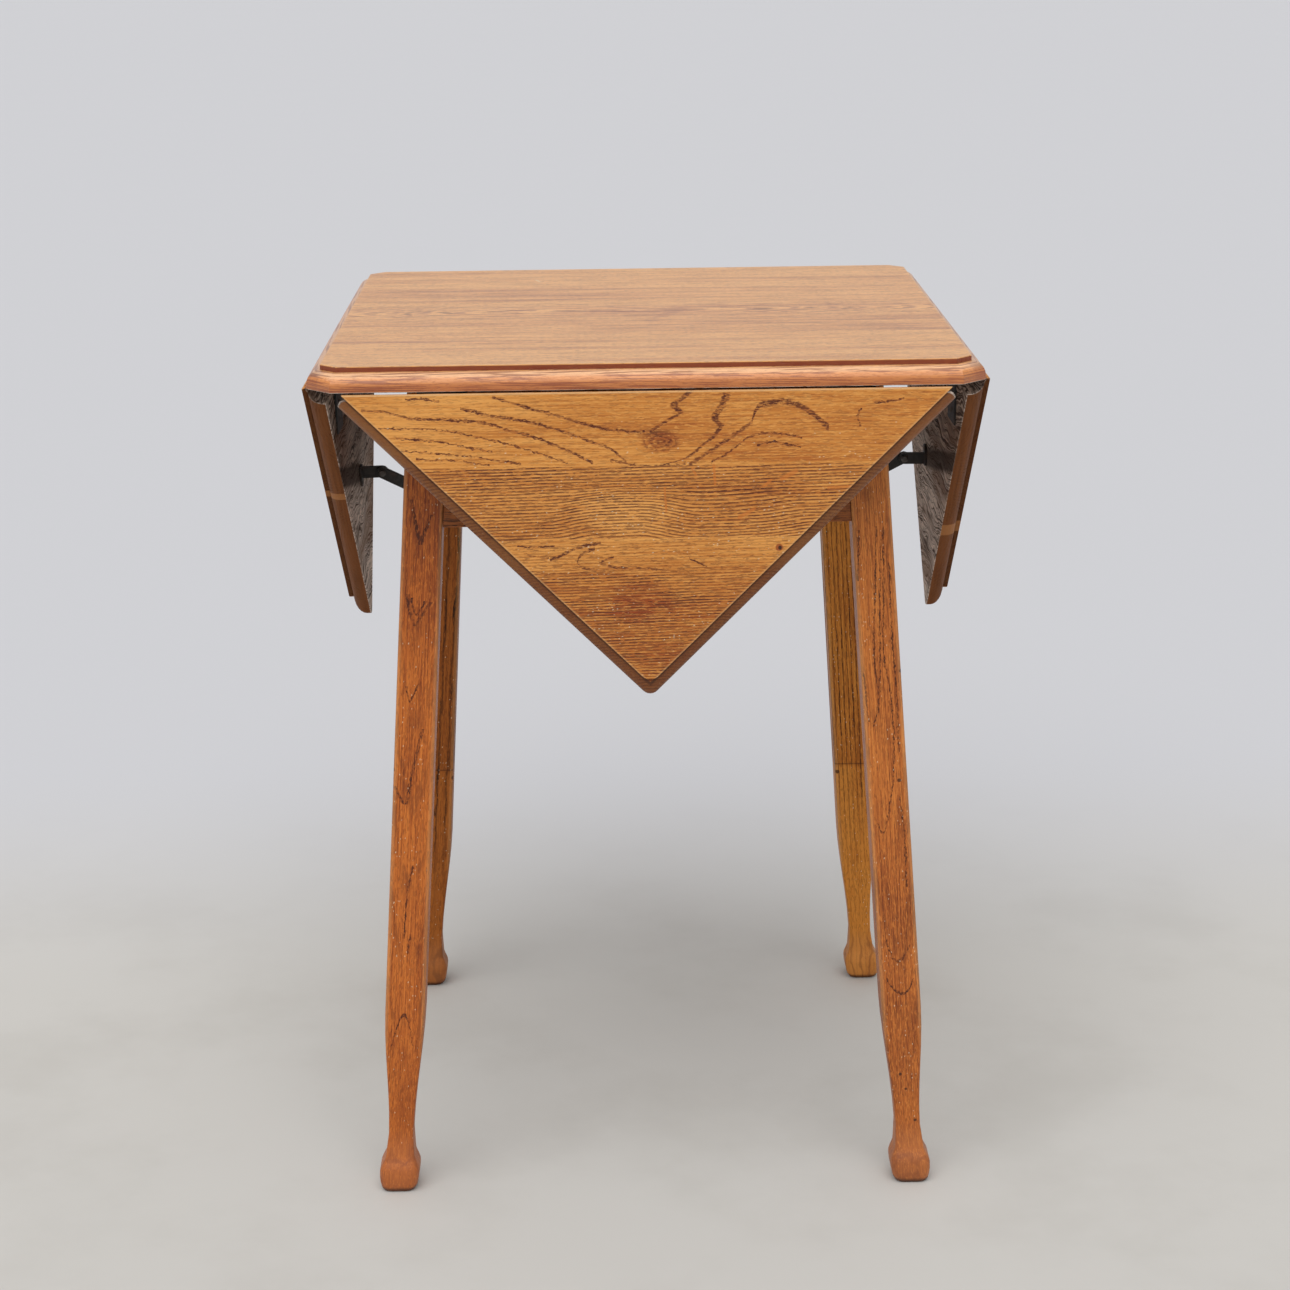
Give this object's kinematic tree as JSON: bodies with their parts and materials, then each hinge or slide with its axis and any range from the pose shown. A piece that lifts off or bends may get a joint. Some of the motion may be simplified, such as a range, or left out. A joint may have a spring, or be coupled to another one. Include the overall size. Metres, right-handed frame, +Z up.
{
  "type": "envelope table",
  "caption": "Square oak table with triangular drop leaves on rule joints, splayed legs with club feet, and iron stays that slide out under the raised leaves.",
  "frame": {"origin": "on the floor under the centre of the top", "axes": "+Z up, the front faces -Y, +X to the right when seen from the front"},
  "size_m": [0.5489, 0.549, 0.73],
  "materials": {
    "oak": "satin varnish, golden brown, worn at the edges",
    "unfinished_oak": "bare sawn wood",
    "black_iron": "dark oxidised"
  },
  "bodies": {
    "frame": {"top_board": "oak", "leg_back_right": "oak", "leg_back_left": "oak", "leg_front_left": "oak", "leg_front_right": "oak", "corner_block_back_right": "unfinished_oak", "corner_block_back_left": "unfinished_oak", "corner_block_front_left": "unfinished_oak", "corner_block_front_right": "unfinished_oak", "apron_front": "oak", "apron_right": "oak", "apron_back": "oak", "apron_left": "oak", "stay_keeper_front": "black_iron", "stay_keeper_right": "black_iron", "stay_keeper_back": "black_iron", "stay_keeper_left": "black_iron", "hinge_board_plate_front_1": "black_iron", "hinge_board_plate_front_2": "black_iron", "hinge_board_plate_right_1": "black_iron", "hinge_board_plate_right_2": "black_iron", "hinge_board_plate_back_1": "black_iron", "hinge_board_plate_back_2": "black_iron", "hinge_board_plate_left_1": "black_iron", "hinge_board_plate_left_2": "black_iron", "hinge_pin_front_1": "black_iron", "hinge_pin_front_2": "black_iron", "hinge_pin_right_1": "black_iron", "hinge_pin_right_2": "black_iron", "hinge_pin_back_1": "black_iron", "hinge_pin_back_2": "black_iron", "hinge_pin_left_1": "black_iron", "hinge_pin_left_2": "black_iron"},
    "front_leaf": {"leaf_front": "oak", "hinge_leaf_plate_front_1": "black_iron", "hinge_leaf_plate_front_2": "black_iron", "stay_bracket_front": "black_iron", "stay_rivet_front": "black_iron"},
    "right_leaf": {"leaf_right": "oak", "hinge_leaf_plate_right_1": "black_iron", "hinge_leaf_plate_right_2": "black_iron", "stay_bracket_right": "black_iron", "stay_rivet_right": "black_iron"},
    "back_leaf": {"leaf_back": "oak", "hinge_leaf_plate_back_1": "black_iron", "hinge_leaf_plate_back_2": "black_iron", "stay_bracket_back": "black_iron", "stay_rivet_back": "black_iron"},
    "left_leaf": {"leaf_left": "oak", "hinge_leaf_plate_left_1": "black_iron", "hinge_leaf_plate_left_2": "black_iron", "stay_bracket_left": "black_iron", "stay_rivet_left": "black_iron"},
    "front_stay": {"stay_bar_front": "black_iron"},
    "right_stay": {"stay_bar_right": "black_iron"},
    "back_stay": {"stay_bar_back": "black_iron"},
    "left_stay": {"stay_bar_left": "black_iron"}
  },
  "joints": [
    {"name": "front_leaf_hinge", "type": "hinge", "parent": "frame", "child": "front_leaf", "pos_m": [0, -0.2569, 0.7124], "axis": [-1, 0, 0], "range_deg": [0, 90]},
    {"name": "right_leaf_hinge", "type": "hinge", "parent": "frame", "child": "right_leaf", "pos_m": [0.2569, 0, 0.7124], "axis": [0, -1, 0], "range_deg": [0, 90]},
    {"name": "back_leaf_hinge", "type": "hinge", "parent": "frame", "child": "back_leaf", "pos_m": [0, 0.2569, 0.7124], "axis": [1, 0, 0], "range_deg": [0, 90]},
    {"name": "left_leaf_hinge", "type": "hinge", "parent": "frame", "child": "left_leaf", "pos_m": [-0.2569, 0, 0.7124], "axis": [0, 1, 0], "range_deg": [0, 91.7]},
    {"name": "front_stay_pivot", "type": "hinge", "parent": "front_leaf", "child": "front_stay", "pos_m": [0.015, -0.2355, 0.591], "axis": [-1, 0, 0], "range_deg": [-48, 0]},
    {"name": "right_stay_pivot", "type": "hinge", "parent": "right_leaf", "child": "right_stay", "pos_m": [0.2355, 0.015, 0.591], "axis": [0, -1, 0], "range_deg": [-48, 0]},
    {"name": "back_stay_pivot", "type": "hinge", "parent": "back_leaf", "child": "back_stay", "pos_m": [-0.015, 0.2355, 0.591], "axis": [1, 0, 0], "range_deg": [-48, 0]},
    {"name": "left_stay_pivot", "type": "hinge", "parent": "left_leaf", "child": "left_stay", "pos_m": [-0.23191, -0.015, 0.59169], "axis": [0, 1, 0], "range_deg": [-48.91, 0]}
  ],
  "couplings": [
    {"joint": "front_stay_pivot", "follows": "front_leaf_hinge", "ratio": -0.53333},
    {"joint": "right_stay_pivot", "follows": "right_leaf_hinge", "ratio": -0.53333},
    {"joint": "back_stay_pivot", "follows": "back_leaf_hinge", "ratio": -0.53333},
    {"joint": "left_stay_pivot", "follows": "left_leaf_hinge", "ratio": -0.53333}
  ]
}
